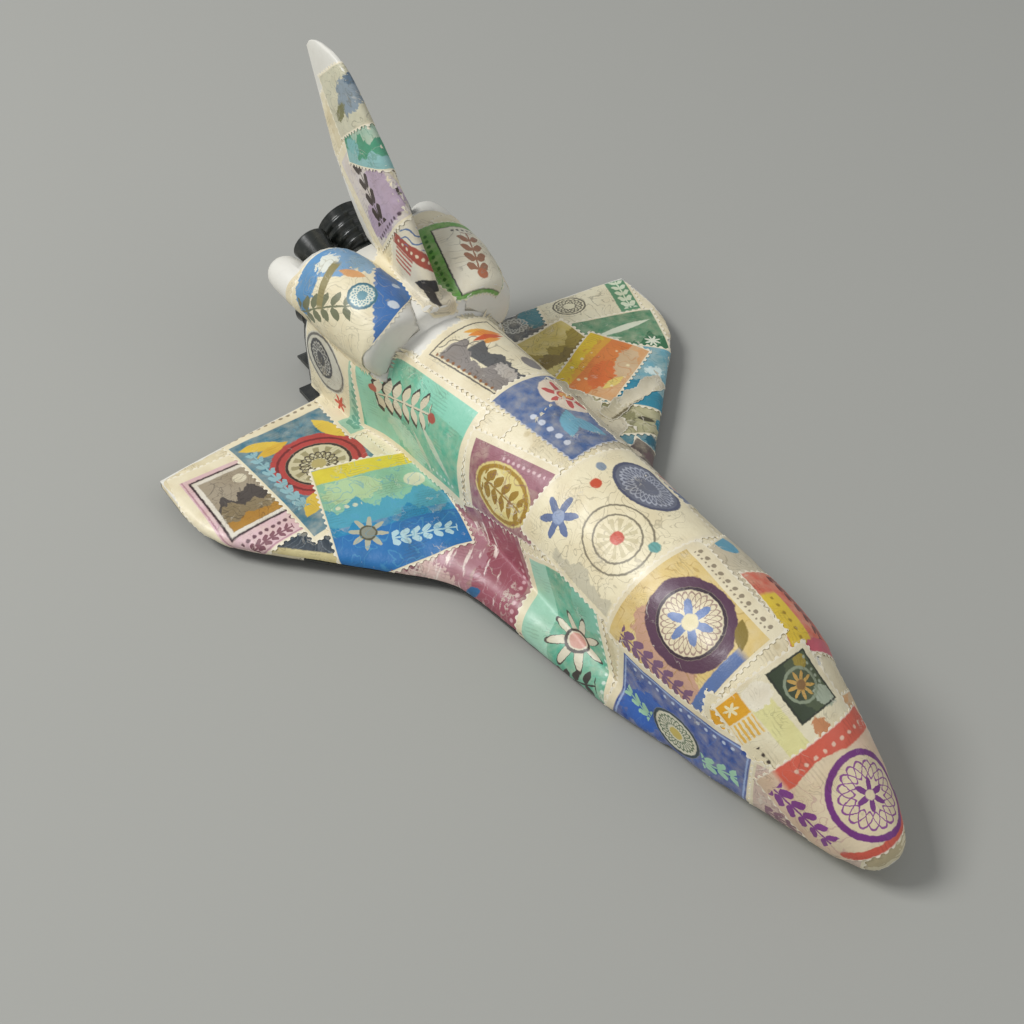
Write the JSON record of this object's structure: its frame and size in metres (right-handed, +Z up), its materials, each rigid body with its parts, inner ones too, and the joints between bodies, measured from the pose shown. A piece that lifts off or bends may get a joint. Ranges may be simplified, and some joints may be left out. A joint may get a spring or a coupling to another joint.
{
  "type": "toy space shuttle",
  "caption": "Small plastic toy space shuttle on free-running wheels, with delta wings, fin, pods and ribbed engine bells, pasted over with overlapping printed paper.",
  "frame": {"origin": "on the floor, at the middle of the toy's length and span", "axes": "+Z up, -Y towards the nose, +Y towards the fin and engines, +X towards the port wing tip"},
  "size_m": [0.136, 0.208, 0.083],
  "materials": {
    "white_plastic": "semi-gloss",
    "black_plastic": "semi-gloss",
    "wheel_plastic": "satin",
    "axle_steel": "drawn",
    "varnished_paper": "printed and varnished"
  },
  "bodies": {
    "airframe": {"hull_shell": "white_plastic", "wing_port": "white_plastic", "wing_starboard": "white_plastic", "tail_fin": "white_plastic", "pod_port": "white_plastic", "pod_starboard": "white_plastic", "belly_moulding": "black_plastic", "body_flap": "black_plastic", "engine_bulkhead": "black_plastic", "main_engine_top": "black_plastic", "main_engine_port": "black_plastic", "main_engine_starboard": "black_plastic", "pod_nozzle_port": "black_plastic", "pod_nozzle_starboard": "black_plastic"},
    "nose_wheels": {"nose_axle": "axle_steel", "nose_wheel_port": "wheel_plastic", "nose_wheel_starboard": "wheel_plastic"},
    "main_wheels": {"main_axle": "axle_steel", "main_wheel_port": "wheel_plastic", "main_wheel_starboard": "wheel_plastic"}
  },
  "joints": [
    {"name": "nose_wheels_roll", "type": "hinge", "parent": "airframe", "child": "nose_wheels", "pos_m": [0, -0.068, 0.0032], "axis": [1, 0, 0], "continuous": true},
    {"name": "main_wheels_roll", "type": "hinge", "parent": "airframe", "child": "main_wheels", "pos_m": [0, 0.032, 0.0032], "axis": [1, 0, 0], "continuous": true}
  ]
}
